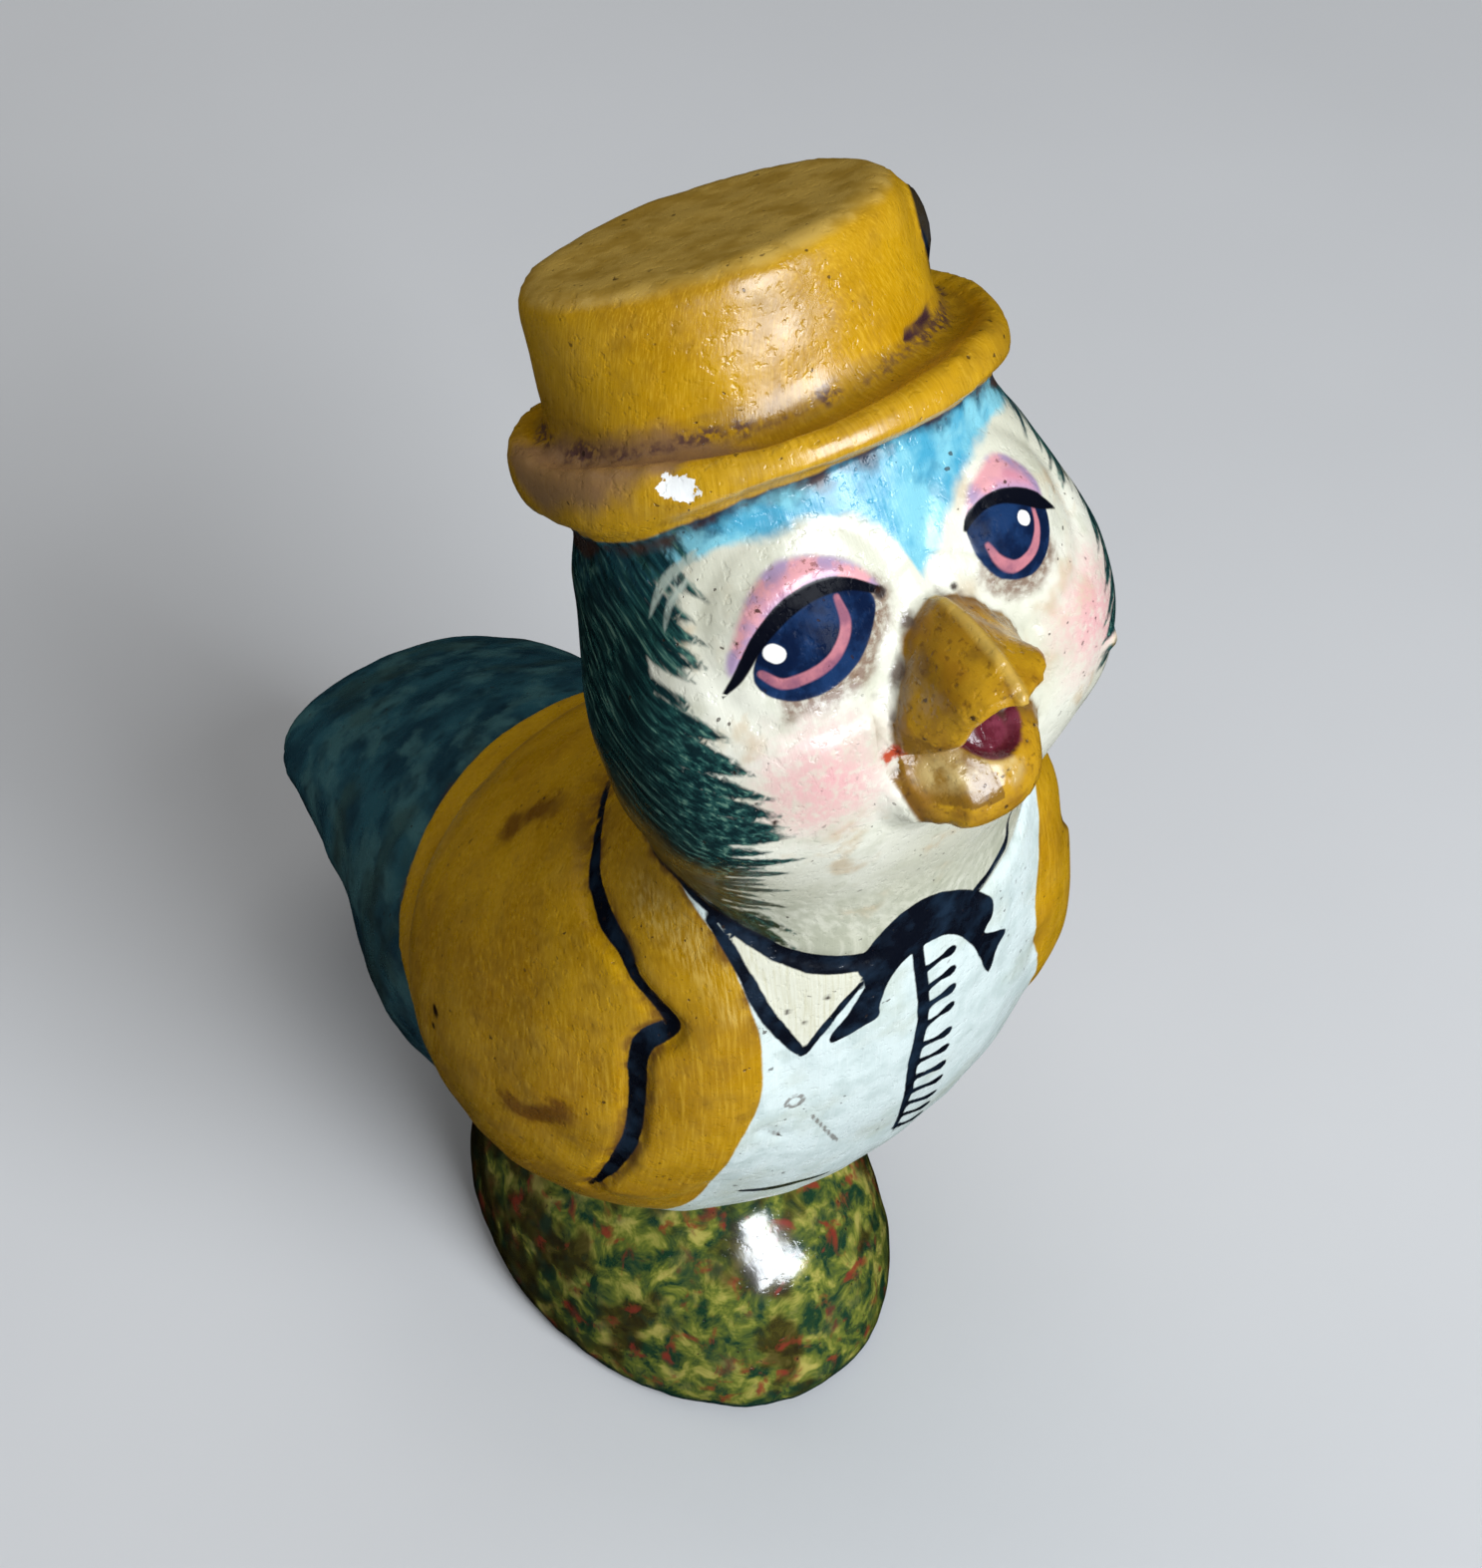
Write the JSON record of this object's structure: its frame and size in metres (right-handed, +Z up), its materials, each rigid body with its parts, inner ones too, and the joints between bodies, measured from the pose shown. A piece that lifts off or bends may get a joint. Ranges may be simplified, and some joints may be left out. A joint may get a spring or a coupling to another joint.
{
  "type": "chick figurine",
  "caption": "Painted chalkware chick in a mustard jacket and a straw boater, with open beak and heavy-lidded eyes, cast in one piece on an oval domed foot.",
  "frame": {"origin": "middle of the flat underside of the oval foot", "axes": "+Z up the figure, -Y the way its face and chest point, +X its own left side"},
  "size_m": [0.0676, 0.1205, 0.1618],
  "materials": {
    "painted_chalkware": "oil paint under aged varnish, satin to glossy, on cast plaster"
  },
  "bodies": {
    "root": {"chick_figurine": "painted_chalkware"}
  },
  "joints": []
}
